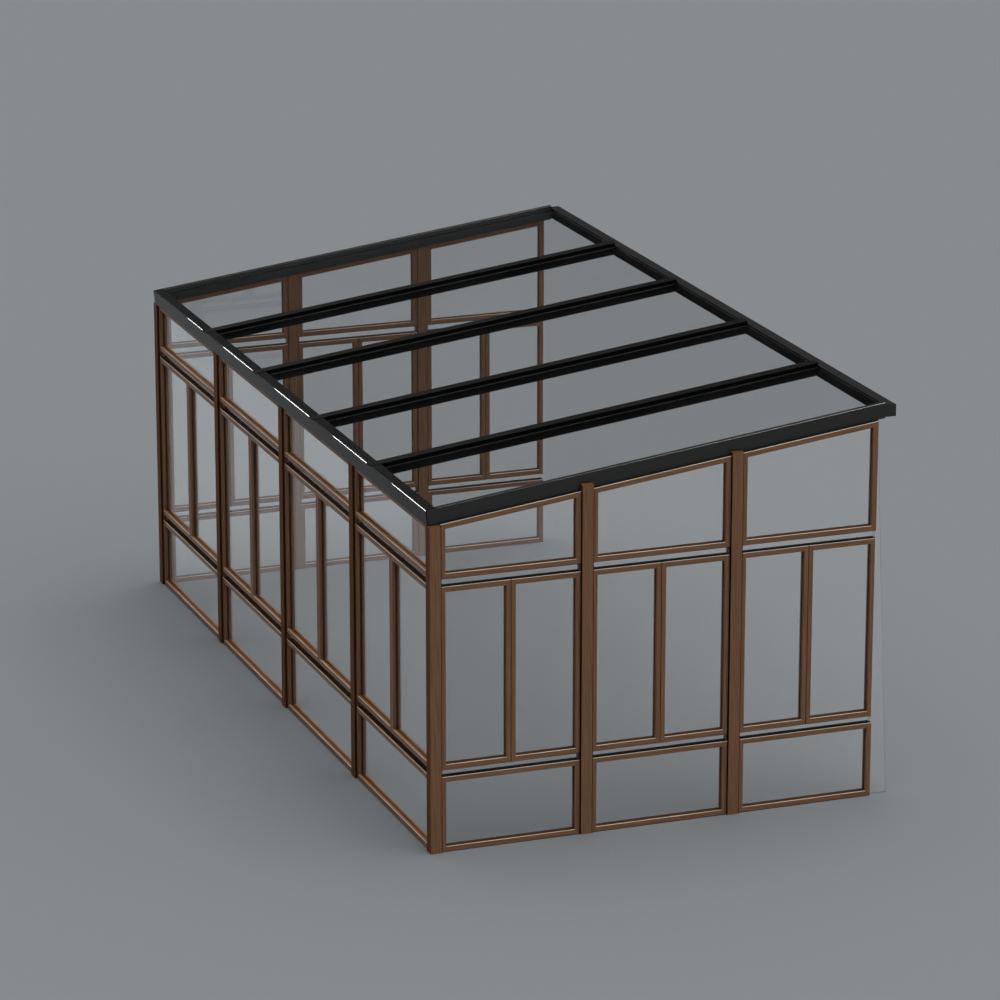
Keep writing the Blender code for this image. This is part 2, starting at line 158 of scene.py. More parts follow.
class Graph:
    """Builds the nodes of one material."""

    def __init__(self, name: str) -> None:
        """Starts an empty node tree.

        Args:
            name: name of the material.
        """
        self.material = bpy.data.materials.new(name)
        self.material.use_nodes = True
        self.tree = self.material.node_tree
        self.tree.nodes.clear()
        self.output = self.node("ShaderNodeOutputMaterial")

    def node(self, kind: str, **settings: object) -> bpy.types.Node:
        """Adds a node.

        Args:
            kind: the node's type name.
            settings: values of the node's own properties.

        Returns:
            The new node.
        """
        made = self.tree.nodes.new(kind)
        for key, value in settings.items():
            setattr(made, key, value)
        return made

    def feed(self, target: bpy.types.NodeSocket, source: "Term | Number | Sequence[float]") -> None:
        """Links a term to a socket, or sets the socket to a plain value.

        Args:
            target: the socket.
            source: what goes into it.
        """
        if isinstance(source, Term):
            self.tree.links.new(source.socket, target)
        else:
            target.default_value = source

    def fill(self, made: bpy.types.Node, **values: "Term | Number | Sequence[float]") -> None:
        """Feeds a node's sockets by their names, with underscores for spaces."""
        for key, value in values.items():
            self.feed(made.inputs[key.replace("_", " ")], value)

    def position(self) -> "tuple[Term, Term, Term]":
        """The point being shaded, as x, y and z in the building's frame, in metres."""
        return self.parted(self.node("ShaderNodeTexCoord").outputs["Object"])

    def facing(self) -> "tuple[Term, Term, Term]":
        """The direction that the face looks in, as x, y and z."""
        return self.parted(self.node("ShaderNodeNewGeometry").outputs["True Normal"])

    def parted(self, vector: bpy.types.NodeSocket) -> "tuple[Term, Term, Term]":
        """Splits a vector into its three numbers.

        Args:
            vector: the socket that it comes from.

        Returns:
            Its x, y and z.
        """
        parts = self.node("ShaderNodeSeparateXYZ")
        self.tree.links.new(vector, parts.inputs[0])
        x, y, z = parts.outputs
        return Term(self, x), Term(self, y), Term(self, z)

    def vector(self, x: "Term | Number", y: "Term | Number", z: "Term | Number") -> "Term":
        """Joins three numbers into a vector.

        Args:
            x: the first.
            y: the second.
            z: the third.

        Returns:
            The vector.
        """
        joined = self.node("ShaderNodeCombineXYZ")
        for socket, value in zip(joined.inputs, (x, y, z)):
            self.feed(socket, value)
        return Term(self, joined.outputs[0])

    def noise(self, where: "Term", scale: float, detail: float = 3.0, roughness: float = 0.55,
              distortion: float = 0.0) -> "Term":
        """Smooth noise from 0 to 1.

        Args:
            where: the point at which it is read.
            scale: features to the metre.
            detail: number of finer layers.
            roughness: weight of the finer layers.
            distortion: how far the pattern is pushed about.

        Returns:
            The noise's value.
        """
        made = self.node("ShaderNodeTexNoise")
        self.fill(made, Vector=where, Scale=scale, Detail=detail, Roughness=roughness,
                  Distortion=distortion)
        return Term(self, made.outputs[0])

    def waves(self, where: "Term", scale: float, distortion: float, detail: float = 2.0) -> "Term":
        """Wavering bands from 0 to 1, as growth rings cut lengthways.

        Args:
            where: the point at which they are read.
            scale: bands to the metre.
            distortion: how far the bands waver.
            detail: number of finer layers in the wavering.

        Returns:
            The band's value.
        """
        made = self.node("ShaderNodeTexWave", wave_type="BANDS", bands_direction="DIAGONAL")
        self.fill(made, Vector=where, Scale=scale, Distortion=distortion, Detail=detail,
                  Detail_Scale=1.6)
        return Term(self, made.outputs["Fac"])

    def ramp(self, value: "Term", stops: Sequence[tuple[float, Sequence[float]]]) -> "Term":
        """Turns a number into a colour.

        Args:
            value: the number, from 0 to 1.
            stops: places and colours, in rising order.

        Returns:
            The colour.
        """
        made = self.node("ShaderNodeValToRGB")
        self.feed(made.inputs[0], value)
        points = made.color_ramp.elements
        while len(points) < len(stops):
            points.new(0.5)
        for point, (place, colour) in zip(points, stops):
            point.position = place
            point.color = (*colour[:3], 1.0)
        return Term(self, made.outputs[0])

    def blend(self, share: "Term | Number", first: "Term", second: "Term", kind: str = "VECTOR",
              way: str = "MIX") -> "Term":
        """Mixes two vectors or colours.

        Args:
            share: 0 for the first and 1 for the second.
            first: one value.
            second: the other value.
            kind: VECTOR or RGBA.
            way: how colours are mixed.

        Returns:
            The mix.
        """
        made = self.node("ShaderNodeMix", data_type=kind, blend_type=way)
        start, end, result = {"VECTOR": (4, 5, 1), "RGBA": (6, 7, 2)}[kind]
        for number, value in ((0, share), (start, first), (end, second)):
            self.feed(made.inputs[number], value)
        return Term(self, made.outputs[result])

    def shaded(self, colour: "Term", factor: "Term") -> "Term":
        """A colour made darker or lighter by a factor."""
        return self.blend(1.0, colour, factor, "RGBA", "MULTIPLY")

    def bump(self, height: "Term", depth: float, strength: float = 1.0) -> "Term":
        """A normal that is raised by a height map.

        Args:
            height: the map, from 0 to 1.
            depth: height of the map's 1, in metres.
            strength: share of the effect.

        Returns:
            The normal.
        """
        made = self.node("ShaderNodeBump")
        self.fill(made, Strength=strength, Distance=depth, Height=height)
        return Term(self, made.outputs[0])

    def principled(self, **values: "Term | Number | Sequence[float]") -> bpy.types.Node:
        """The main shader with some of its sockets set.

        Args:
            values: socket names with underscores for spaces, and what goes into them.

        Returns:
            The shader node.
        """
        shader = self.node("ShaderNodeBsdfPrincipled")
        self.fill(shader, **values)
        return shader

    def layer(self, share: "Term", first: bpy.types.Node, second: bpy.types.Node) -> bpy.types.Node:
        """Mixes two shaders.

        Args:
            share: 0 for the first and 1 for the second.
            first: one shader.
            second: the other shader.

        Returns:
            The mix.
        """
        made = self.node("ShaderNodeMixShader")
        self.feed(made.inputs[0], share)
        self.tree.links.new(first.outputs[0], made.inputs[1])
        self.tree.links.new(second.outputs[0], made.inputs[2])
        return made

    def surface(self, shader: bpy.types.Node) -> Material:
        """Ends the tree in a shader, which finishes the material."""
        self.tree.links.new(shader.outputs[0], self.output.inputs["Surface"])
        return self.material


@dataclass(frozen=True)
class Term:
    """A number or vector in a material's nodes that can be reckoned with."""

    graph: Graph
    socket: bpy.types.NodeSocket

    def reckon(self, operation: str, *others: "Term | Number") -> "Term":
        """Applies one arithmetic node.

        Args:
            operation: the node's operation.
            others: what follows this term.

        Returns:
            The result.
        """
        made = self.graph.node("ShaderNodeMath", operation=operation)
        for socket, value in zip(made.inputs, (self, *others)):
            self.graph.feed(socket, value)
        return Term(self.graph, made.outputs[0])

    def __add__(self, other: "Term | Number") -> "Term":
        """Sum."""
        return self.reckon("ADD", other)

    def __sub__(self, other: "Term | Number") -> "Term":
        """Difference."""
        return self.reckon("SUBTRACT", other)

    def __mul__(self, other: "Term | Number") -> "Term":
        """Product."""
        return self.reckon("MULTIPLY", other)

    def least(self, other: "Term | Number") -> "Term":
        """The smaller of two."""
        return self.reckon("MINIMUM", other)

    def most(self, other: "Term | Number") -> "Term":
        """The larger of two."""
        return self.reckon("MAXIMUM", other)

    def under(self, other: "Term | Number") -> "Term":
        """1 where this term is the smaller, else 0."""
        return self.reckon("LESS_THAN", other)

    def size(self) -> "Term":
        """The term without its sign."""
        return self.reckon("ABSOLUTE")

    def spread(self, low: float, high: float, start: float = 0.0, end: float = 1.0) -> "Term":
        """Moves a range of the term to another range, and holds it there.

        Args:
            low: where the term's range starts.
            high: where it ends.
            start: what low becomes.
            end: what high becomes.

        Returns:
            The moved term.
        """
        made = self.graph.node("ShaderNodeMapRange")
        self.graph.feed(made.inputs[0], self)
        for socket, value in zip(list(made.inputs)[1:5], (low, high, start, end)):
            socket.default_value = value
        return Term(self.graph, made.outputs[0])


@dataclass(frozen=True)
class WoodCoat:
    """Brown wood-grain coating on aluminium: streaks, fibres and fine pores along each member.

    The coating's colour also changes with the way a face looks, as painted light and shade: by default
    warmest where it faces up, greyer on upright faces, darker on faces that look out of the front, and
    pale along the upper arrises as a painted highlight.
    """

    light: Colour = (1.0, 1.0, 1.0)
    middle: Colour = (0.87, 0.86, 0.85)
    dark: Colour = (0.70, 0.67, 0.64)
    painted_light_up: Colour = (0.345, 0.131, 0.037)
    upright_face: Colour = (0.330, 0.178, 0.104)
    painted_shade_front: Colour = (0.300, 0.150, 0.082)
    wear_and_painted_highlight: Colour = (1.0, 0.86, 0.68)
    stretch: float = 0.035
    streaks: float = 95.0
    rings: float = 26.0
    fibres: float = 620.0
    pores: float = 1300.0
    head_zone: float = 0.085
    mitre: float = 0.0005
    roughness: tuple[float, float] = (0.36, 0.48)
    relief: float = 0.00005
    shine: float = 0.16

    def paint(self, graph: Graph, where: Term, seam: "Term | None" = None) -> Material:
        """Paints the coating on a grain direction.

        Args:
            graph: the material being built.
            where: point with its length along the grain shrunk by stretch.
            seam: 1 along a mitre joint, else 0.

        Returns:
            The finished material.
        """
        streaks = graph.noise(where, self.streaks, 4.0, 0.6, 0.25)
        rings = graph.waves(where, self.rings, 7.0)
        fibres = graph.noise(where, self.fibres, 3.0, 0.65)
        pores = graph.noise(where, self.pores, 1.0, 0.5)
        tone = streaks * 0.55 + rings * 0.22 + fibres * 0.23
        colour = graph.ramp(tone, [(0.30, self.dark), (0.50, self.middle), (0.70, self.light)])
        pitted = pores.spread(0.60, 0.72)
        if seam is not None:
            pitted = pitted.most(seam)
        # Colour by facing, as painted light and shade: faces that look up, upright faces and faces that
        # look out of the front each get their own colour.
        _, along_y, up = graph.facing()
        sideways = along_y.spread(-0.9, -0.5)
        upright = graph.ramp(sideways, [(0.0, self.painted_shade_front), (1.0, self.upright_face)])
        # The arris facets, between upright and flat, get a pale painted highlight.
        topped = graph.ramp(up, [(0.25, self.wear_and_painted_highlight), (0.95, self.wear_and_painted_highlight), (0.985, self.painted_light_up)])
        tint = graph.blend(up.spread(0.20, 0.24), upright, topped, "RGBA")
        colour = graph.shaded(graph.shaded(colour, tint), pitted.spread(0.0, 1.0, 1.0, 0.80))
        smudges = graph.noise(graph.vector(*graph.position()), 2.2, 3.0, 0.6)
        roughness = (tone * 0.4 + smudges * 0.6).spread(0.3, 0.7, *self.roughness)
        height = fibres * 0.5 + streaks * 0.3 - pitted * 0.6
        shader = graph.principled(
            Base_Color=colour, Roughness=roughness, Normal=graph.bump(height, self.relief, 0.6),
            Specular_IOR_Level=self.shine,
        )
        return graph.surface(shader)

    def upright(self, name: str) -> Material:
        """The coating with its grain up the posts.

        Args:
            name: name of the material.

        Returns:
            The material.
        """
        graph = Graph(name)
        x, y, z = graph.position()
        return self.paint(graph, graph.vector(x, y, z * self.stretch))

    def frames(self, name: str, wall: Wall, row: Row) -> Material:
        """The coating on window frames, up the stiles, along the rails and mitred at the corners.

        Args:
            name: name of the material.
            wall: the wall, of which both end walls share one.
            row: fixed lights or casements.

        Returns:
            The material.
        """
        graph = Graph(name)
        x, y, z = graph.position()
        s = SIZES
        bay = s.pitch(wall) - s.post - 2 * s.gap
        across = x - CAD_LOW.x if wall is Wall.FRONT else y - START_Y
        from_post = across.reckon("MODULO", s.pitch(wall)) - (s.post + s.gap)
        side = from_post.least(from_post * -1.0 + bay)
        level = z
        if row is Row.CASEMENTS:
            middle = (from_post - bay / 2).size() - s.meeting / 2
            side = (side - (s.edge_web + s.gap)).least(middle)
            rail = (z - s.sash_base).least(z * -1.0 + s.sash_top)
        else:
            from_head = across * s.rise(wall) + s.eave - z
            low = z.least(z * -1.0 + s.low_top)
            rail = low.most((z - s.high_base).least(from_head))
            level = z - across * from_head.under(self.head_zone) * s.rise(wall)
        lies = rail.under(side)
        seam = (rail - side).size().under(self.mitre)
        stile = graph.vector(x, y, z * self.stretch)
        if wall is Wall.FRONT:
            rails = graph.vector(x * self.stretch, y, level)
        else:
            rails = graph.vector(x, y * self.stretch, level)
        return self.paint(graph, graph.blend(lies, stile, rails), seam)


@dataclass(frozen=True)
class BlackCoat:
    """Black powder coating: satin, with a fine orange-peel and patchy tops, partly dust and partly
    painted light and shade.

    Faces that look out of the front can have their own colour, a painted shade, and their own
    roughness, and the front's upper arris can be duller in lengths.
    """

    colour: Colour = (0.0345, 0.0345, 0.0350)
    top_dust_and_painted_light: Colour = (0.025, 0.0255, 0.027)
    front_painted_shade: Colour = (0.0080, 0.0080, 0.0082)
    roughness: tuple[float, float] = (0.16, 0.22)
    front_roughness: float = 0.0
    shine: float = 0.17
    peel: float = 0.00012
    dull_length: float = 0.50
    dull_fade: float = 0.04
    dull_waver: float = 0.06
    dull: float = 0.45

    def paint(self, name: str, dull_from: Sequence[float] = ()) -> Material:
        """Builds the material.

        Args:
            name: name of the material.
            dull_from: places along x from which a length of the coating is duller.

        Returns:
            The material.
        """
        graph = Graph(name)
        x, y, z = graph.position()
        where = graph.vector(x, y, z)
        peel = graph.noise(where, 900.0, 2.0, 0.5)
        patches = graph.noise(where, 3.5, 4.0, 0.65)
        _, along_y, up = graph.facing()
        # Faces that look out of the front get their own colour, a painted shade.
        front = along_y.spread(-0.95, -0.75, 1.0, 0.0)
        # Faces that look up get a patchy colour of their own, partly dust and partly painted light and
        # shade.
        top_dust_and_light_share = up.spread(0.3, 1.0) * patches.spread(0.35, 0.65, 0.6, 1.0)
        sides = graph.ramp(front, [(0.0, self.colour), (1.0, self.front_painted_shade)])
        tops = graph.ramp(patches, [(0.3, self.top_dust_and_painted_light), (0.7, tuple(v * 1.15 for v in self.top_dust_and_painted_light))])
        colour = graph.blend(top_dust_and_light_share, sides, tops, "RGBA")
        roughness = (patches + top_dust_and_light_share * 0.5).spread(0.35, 1.0, *self.roughness)
        roughness = roughness + front * self.front_roughness
        arris = up.spread(0.25, 0.35) * up.spread(0.90, 0.95, 1.0, 0.0)
        half = self.dull_length / 2
        for start in dull_from:
            reach = (x - (start + half)).size() + patches * self.dull_waver
            roughness = roughness + reach.spread(half, half + self.dull_fade, self.dull, 0.0) * arris
        shader = graph.principled(
            Base_Color=colour, Roughness=roughness, Normal=graph.bump(peel, self.peel, 0.5),
            Specular_IOR_Level=self.shine,
        )
        return graph.surface(shader)


@dataclass(frozen=True)
class Rubber:
    """Matt rubber of the seals and joints, and of the dark strips of painted shade."""

    colour: Colour = (0.0025, 0.0023, 0.0022)
    wear_and_painted_highlight: Colour = (0.0060, 0.0055, 0.0050)

    def paint(self, name: str) -> Material:
        """Builds the material.

        Args:
            name: name of the material.

        Returns:
            The material.
        """
        graph = Graph(name)
        where = graph.vector(*graph.position())
        cloudy = graph.noise(where, 40.0, 4.0, 0.6)
        colour = graph.ramp(cloudy, [(0.35, self.colour), (0.7, self.wear_and_painted_highlight)])
        grain = graph.noise(where, 1500.0, 2.0, 0.6)
        shader = graph.principled(
            Base_Color=colour, Roughness=cloudy.spread(0.3, 0.7, 0.60, 0.80),
            Normal=graph.bump(grain, 0.0001, 0.5), Specular_IOR_Level=0.06,
        )
        return graph.surface(shader)


@dataclass(frozen=True)
class ClearGlass:
    """Clear float glass: see-through faces with a mirror's share by angle, and green cut edges."""

    tint: Colour = (0.994, 0.997, 0.999)
    shade: Colour = (0.808, 0.813, 0.818)
    edge: Colour = (0.50, 0.62, 0.60)
    edge_cover: float = 0.65
    haze: float = 0.004
    high_haze: float = 0.0
    mirror: float = 0.90
    high_mirror: float = 1.0
    climb: tuple[float, float] = (0.5, 2.3)
    ior: float = 1.48

    def paint(self, name: str, normal: Vector) -> Material:
        """Builds the material for panes that lie across one direction.

        Args:
            name: name of the material.
            normal: direction that the panes' faces look in.

        Returns:
            The material.
        """
        graph = Graph(name)
        where = graph.vector(*graph.position())
        clear = graph.node("ShaderNodeBsdfTransparent")
        path = graph.node("ShaderNodeLightPath")
        shadow, diffuse = (Term(graph, path.outputs[f"Is {ray} Ray"]) for ray in ("Shadow", "Diffuse"))
        lamp = shadow.most(diffuse)
        graph.feed(clear.inputs[0], graph.ramp(lamp, [(0.0, self.tint), (1.0, self.shade)]))
        mirror = graph.principled(Base_Color=(0.92, 0.95, 0.96, 1.0), Metallic=1.0, Roughness=0.015)
        smears = graph.noise(where, 1.6, 5.0, 0.62)
        share = graph.node("ShaderNodeFresnel")
        inside = Term(graph, graph.node("ShaderNodeNewGeometry").outputs["Backfacing"])
        graph.feed(share.inputs["IOR"], inside.spread(0.0, 1.0, self.ior, 1.0 / self.ior))
        climb = graph.position()[2].spread(*self.climb)
        sheen = Term(graph, share.outputs[0]) * smears.spread(0.3, 0.7, 0.94 * self.mirror, self.mirror)
        sheen = sheen * climb.spread(0.0, 1.0, 1.0, self.high_mirror)
        film = graph.principled(Base_Color=(0.80, 0.82, 0.83, 1.0), Roughness=0.7)
        haze = smears.spread(0.35, 0.75, self.haze * 0.4, self.haze * 1.6) + climb * self.high_haze
        pane = graph.layer(sheen, graph.layer(haze, clear, film), mirror)
        ground = graph.principled(
            Base_Color=(*self.edge, 1.0), Roughness=0.25, Alpha=self.edge_cover, Specular_IOR_Level=0.6,
        )
        nx, ny, nz = graph.facing()
        along = (nx * normal.x + ny * normal.y + nz * normal.z).size()
        return graph.surface(graph.layer(along.under(0.5), pane, ground))


@dataclass(frozen=True)
class StudioFloor:
    """Plain matt floor that looks paler in the glass and the coats than by itself."""

    colour: Colour = (0.243, 0.259, 0.274)
    reflected: Colour = (0.500, 0.520, 0.540)

    def paint(self, name: str) -> Material:
        """Builds the material.

        Args:
            name: name of the material.

        Returns:
            The material.
        """
        graph = Graph(name)
        path = graph.node("ShaderNodeLightPath")
        glossy = Term(graph, path.outputs["Is Glossy Ray"])
        colour = graph.ramp(glossy, [(0.0, self.colour), (1.0, self.reflected)])
        shader = graph.principled(Base_Color=colour, Roughness=0.9, Specular_IOR_Level=0.0)
        return graph.surface(shader)


def dress(names: Iterable[str], material: Material) -> None:
    """Puts a finish on CAD nodes.

    Args:
        names: the nodes.
        material: their finish.
    """
    for name in names:
        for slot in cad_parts[name].material_slots:
            slot.link = "OBJECT"
            slot.material = material
        LOG.info("dressed %s", name)


def add_piece(name: str, bm: BMesh, material: Material) -> bpy.types.Object:
    """Links a new piece that rides on the building.

    Args:
        name: name of the piece.
        bm: its body, in the building's frame.
        material: its finish.

    Returns:
        The new object.
    """
    bmesh.ops.recalc_face_normals(bm, faces=bm.faces)
    mesh = bpy.data.meshes.new(name)
    bm.to_mesh(mesh)
    bm.free()
    mesh.materials.append(material)
    piece = bpy.data.objects.new(name, mesh)
    bpy.context.scene.collection.objects.link(piece)
    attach(piece, "root")
    LOG.info("made %s", name)
    return piece


def rectangle(left: float, right: float, base: float, top: float) -> list[Point2]:
    """Corners of an upright rectangle, counter-clockwise."""
    return [(left, base), (right, base), (right, top), (left, top)]


def sweep_round(bm: BMesh, corners: Sequence[Point2], profile: Sequence[Point2],
                place: Placer, growth: Sequence[float] = (0.0, 0.0, 0.0, 0.0),
                beyond: float = math.inf) -> None:
    """Adds a mitred ring inside an outline.

    Args:
        bm: the mesh that it goes into.
        corners: (along, up) corners, counter-clockwise.
        profile: closed section as (distance in from the outline, depth).
        place: turns (along, depth, up) into a point of the building.
        growth: how much wider than the section each side is, from the first corner's side on.
        beyond: distance past which the growth counts.
    """
    loops = []
    count = len(corners)
    for i in range(count):
        here = Vector(corners[i])
        before = (here - Vector(corners[i - 1])).normalized()
        after = (Vector(corners[(i + 1) % count]) - here).normalized()
        turn = before.x * after.y - before.y * after.x
        loop = []
        for distance, depth in profile:
            first, second = [distance + (growth[k] if distance > beyond else 0.0) for k in (i - 1, i)]
            point = here + (after * first - before * second) / turn
            loop.append(bm.verts.new(place(point.x, depth, point.y)))
        loops.append(loop)
    for i, loop in enumerate(loops):
        following = loops[(i + 1) % count]
        for k in range(len(profile)):
            j = (k + 1) % len(profile)
            bm.faces.new((loop[k], following[k], following[j], loop[j]))


def add_bar(bm: BMesh, place: Placer, along: Sequence[float], depth: Sequence[float],
            up: Sequence[float], rise: float = 0.0) -> None:
    """Adds a straight bar of rectangular section.

    Args:
        bm: the mesh that it goes into.
        place: turns (along, depth, up) into a point of the building.
        along: where it starts and ends.
        depth: its front and back.
        up: its underside and top where along is 0.
        rise: slope of the bar, as rise over run.
    """
    corners = [[[bm.verts.new(place(a, d, z + a * rise)) for z in up] for d in depth] for a in along]
    (a, b), (c, d) = corners
    for loop in ((a[0], a[1], b[1], b[0]), (c[0], c[1], d[1], d[0]), (a[0], a[1], c[1], c[0]),
                 (b[0], b[1], d[1], d[0]), (a[0], b[0], d[0], c[0]), (a[1], b[1], d[1], c[1])):
        bm.faces.new(loop)


def add_plate(name: str, outline: Sequence[Point2], thickness: tuple[float, float], place: Placer,
              material: Material) -> None:
    """Adds a flat plate as a piece of its own.

    Args:
        name: name of the piece.
        outline: its (a, b) corners, in order.
        thickness: where its thickness starts and ends.
        place: turns (thickness, a, b) into a point of the building.
        material: its finish.
    """
    bm = bmesh.new()
    first, second = [[bm.verts.new(place(t, a, b)) for a, b in outline] for t in thickness]
    bm.faces.new(first)
    bm.faces.new(list(reversed(second)))
    count = len(outline)
    for i in range(count):
        j = (i + 1) % count
        bm.faces.new((first[j], first[i], second[i], second[j]))
    add_piece(name, bm, material)


@dataclass(frozen=True)
class Light:
    """One framed light: its corners, counter-clockwise from the foot, and its sections' widths."""

    corners: list[Point2]
    rail: float
    stile: float

    def growth(self, width: float) -> list[float]:
        """How much wider than a given section each side of the frame is."""
        return [self.rail - width, self.stile - width] * 2


@dataclass(frozen=True)
class Bay:
    """One bay of a glazed wall: its box, its width and whether it is the last by the house."""

    number: int
    low: Vector
    high: Vector
    width: float
    last: bool


@dataclass
class WindowWall:
    """One glazed wall: its window frames, the seals of its lights and the dark strips round them,
    partly joints and partly painted shade.

    The frames have a flat face and a deep straight return to the glass, in two halves that hold the
    glass between them. The small lengths keep pieces off each other's faces or lap them.
    """

    wall: Wall
    sizes: Sizes = SIZES
    arc_steps: int = 3
    jamb_inset: float = 0.009
    jamb_lap: float = 0.018
    sash_inset: float = 0.012
    lap: float = 0.002
    web_lap: float = 0.001
    clear: float = 0.0005
    glass_clear: float = 0.0004
    tuck: float = 0.0002
    hair: float = 0.0001
    seal_width: float = 0.0018
    seal_height: float = 0.004
    strip: float = 0.0021
    bead: float = 0.0032

    def bays(self) -> list[Bay]:
        """Reads the wall's bays from the boxes of their frames.

        Returns:
            The bays, in order.
        """
        made = []
        front = self.wall is Wall.FRONT
        count = self.sizes.bays(self.wall)
        for number in range(1, count + 1):
            low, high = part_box(f"{self.wall.value}_frame_{number}")
            width = high.x - low.x if front else high.y - low.y
            made.append(Bay(number, low, high, width, not front and number == count))
        return made

    def placer(self, bay: Bay) -> Placer:
        """Gives the function that turns a bay's (along, depth, up) into the building.

        Args:
            bay: the bay.

        Returns:
            The function.
        """
        low, high = bay.low, bay.high
        if self.wall is Wall.FRONT:
            return lambda a, d, z: (low.x + a, low.y + d, z)
        if self.wall is Wall.RIGHT:
            return lambda a, d, z: (high.x - d, low.y + a, z)
        return lambda a, d, z: (low.x + d, low.y + a, z)

    def lights(self, bay: Bay) -> list[Light]:
        """The four lights of a bay: low, left casement, right casement and high.

        Args:
            bay: the bay.

        Returns:
            The lights, in (along, up).
        """
        s = self.sizes
        width, head = bay.width, bay.high.z
        left, half = s.edge_web + s.gap, s.meeting / 2
        upper = [(0.0, s.high_base), (width, s.high_base), (width, head),
                 (0.0, head - width * s.rise(self.wall))]
        sash = (s.casement_rail, s.casement_stile)
        return [
            Light(rectangle(0.0, width, 0.0, s.low_top), s.flat, s.flat),
            Light(rectangle(left, width / 2 - half, s.sash_base, s.sash_top), *sash),
            Light(rectangle(width / 2 + half, width - left, s.sash_base, s.sash_top), *sash),
            Light(upper, s.flat, s.flat),
        ]

    def half_section(self) -> list[Point2]:
        """Section of the outer half of a stile or rail, with rounded arrises.

        Returns:
            Points as (distance in from the outer edge, depth).
        """
        s = self.sizes
        r, slot = s.arris, s.glass_front - s.gap
        points = [(0.0, slot)]
        for centre, start in ((r, 180.0), (s.flat - r, 270.0)):
            for step in range(self.arc_steps + 1):
                angle = math.radians(start + 90.0 * step / self.arc_steps)
                points.append((centre + r * math.cos(angle), r + r * math.sin(angle)))
        return [*points, (s.flat, slot)]

    def seal_section(self) -> list[Point2]:
        """Section of the outer wedge seal between frame and glass.

        Returns:
            Points as (distance in from the outer edge, depth).
        """
        reach = self.sizes.flat - self.tuck
        glass = self.sizes.glass_front - self.hair / 2
        w, h = self.seal_width, self.seal_height
        return [
            (reach, glass - h), (reach + w * 0.45, glass - h * 0.92),
            (reach + w * 0.85, glass - h * 0.45), (reach + w, glass), (reach, glass),
        ]

    def rings(self, lights: Iterable[Light], section: Sequence[Point2], place: Placer) -> BMesh:
        """Makes a ring round each light on the weather side, and its mirror image on the room side.

        Args:
            lights: the lights.
            section: the outer ring's section.
            place: turns (along, depth, up) into a point of the building.

        Returns:
            The mesh that the rings are in.
        """
        s = self.sizes
        bm = bmesh.new()
        inner = [(a, s.frame_depth - d) for a, d in section]
        for light in lights:
            for points in (section, inner):
                sweep_round(bm, light.corners, points, place, light.growth(s.flat), s.flat / 2)
        return bm

    def add_frames(self, fixed: Material, casements: Material) -> None:
        """Adds the fixed lights and the casements of every bay, for the plainer ones of the frame.

        Args:
            fixed: finish of the fixed lights.
            casements: finish of the casements.
        """
        s = self.sizes
        slot = s.glass_front - s.gap
        web = (slot - self.web_lap, s.frame_depth - slot + self.web_lap)
        half = s.meeting / 2 + self.lap
        heights = (s.sash_base + s.arris, s.sash_top - s.arris)
        jambs = ((s.edge_web - self.hair, s.low_top - self.jamb_lap, s.high_base + self.jamb_lap),
                 (s.jamb, s.low_top - self.lap, s.sash_base - s.gap),
                 (s.jamb, s.sash_top + s.gap, s.high_base + self.lap))
        for bay in self.bays():
            number, width, place = bay.number, bay.width, self.placer(bay)
            low_light, *sashes, high_light = self.lights(bay)
            bm = self.rings((low_light, high_light), self.half_section(), place)
            depths = (self.jamb_inset, s.frame_depth - self.jamb_inset)
            for mirrored in (False,) if bay.last else (False, True):
                for reach, base, top in jambs:
                    along = (width - reach, width - self.hair) if mirrored else (self.hair, reach)
                    add_bar(bm, place, along, depths, (base, top))
            if bay.last:
                edge = (width - s.edge_web, width - self.tuck)
                add_bar(bm, place, edge, web, (self.web_lap, s.low_top - self.web_lap))
                add_bar(bm, place, edge, web, (s.high_base + self.web_lap, bay.high.z - self.lap))
            piece = add_piece(f"{self.wall.value}_fixed_lights_{number}", bm, fixed)
            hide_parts(f"{self.wall.value}_frame_{number}")
            bm = self.rings(sashes, self.half_section(), place)
            back, inset = s.frame_depth, self.sash_inset
            for depths in ((inset, slot), (back - slot, back - inset)):
                add_bar(bm, place, (width / 2 - half, width / 2 + half), depths, heights)
            if bay.last:
                outer = width - s.edge_web - s.gap
                add_bar(bm, place, (outer - s.edge_web, outer - self.tuck), web, heights)
            piece = add_piece(f"{self.wall.value}_casement_pair_{number}", bm, casements)
            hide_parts(f"{self.wall.value}_casements_{number}")

    def add_seals(self, rubber: Material) -> None:
        """Adds the rubber seals of every light, both sides of the glass, one piece a bay.

        Args:
            rubber: their finish.
        """
        for bay in self.bays():
            bm = self.rings(self.lights(bay), self.seal_section(), self.placer(bay))
            add_piece(f"{self.wall.value}_seals_{bay.number}", bm, rubber)

    def add_joints_and_painted_shade(self, rubber: Material) -> None:
        """Adds the dark strips of every bay, one piece a bay: partly joints and partly painted shade.

        They are the strips on the frames' edges along the clear strips and on the head, painted shade
        on faces that look up or down there;
        the beads between the frames and the posts, painted shade in the recess; the seal where two
        casements meet, a real joint; and the line along the foot, a painted contact shadow.

        Args:
            rubber: their finish.
        """
        s = self.sizes
        outer = (s.arris + self.clear, s.glass_front - self.glass_clear)
        inner = (s.glass_back + self.glass_clear, s.inner_arris)
        levels = ((s.low_top, 1), (s.sash_base, -1), (s.sash_top, 1), (s.high_base, -1))
        seam_depth, seam_half = self.sash_inset - self.tuck, s.meeting / 2 - self.tuck
        upright = (s.sash_base + s.arris, s.sash_top - s.arris)
        for bay in self.bays():
            width, place = bay.width, self.placer(bay)
            head = bay.high.z - width * s.rise(self.wall)
            bm = bmesh.new()
            end = width - (s.arris if bay.last else s.jamb + self.clear)
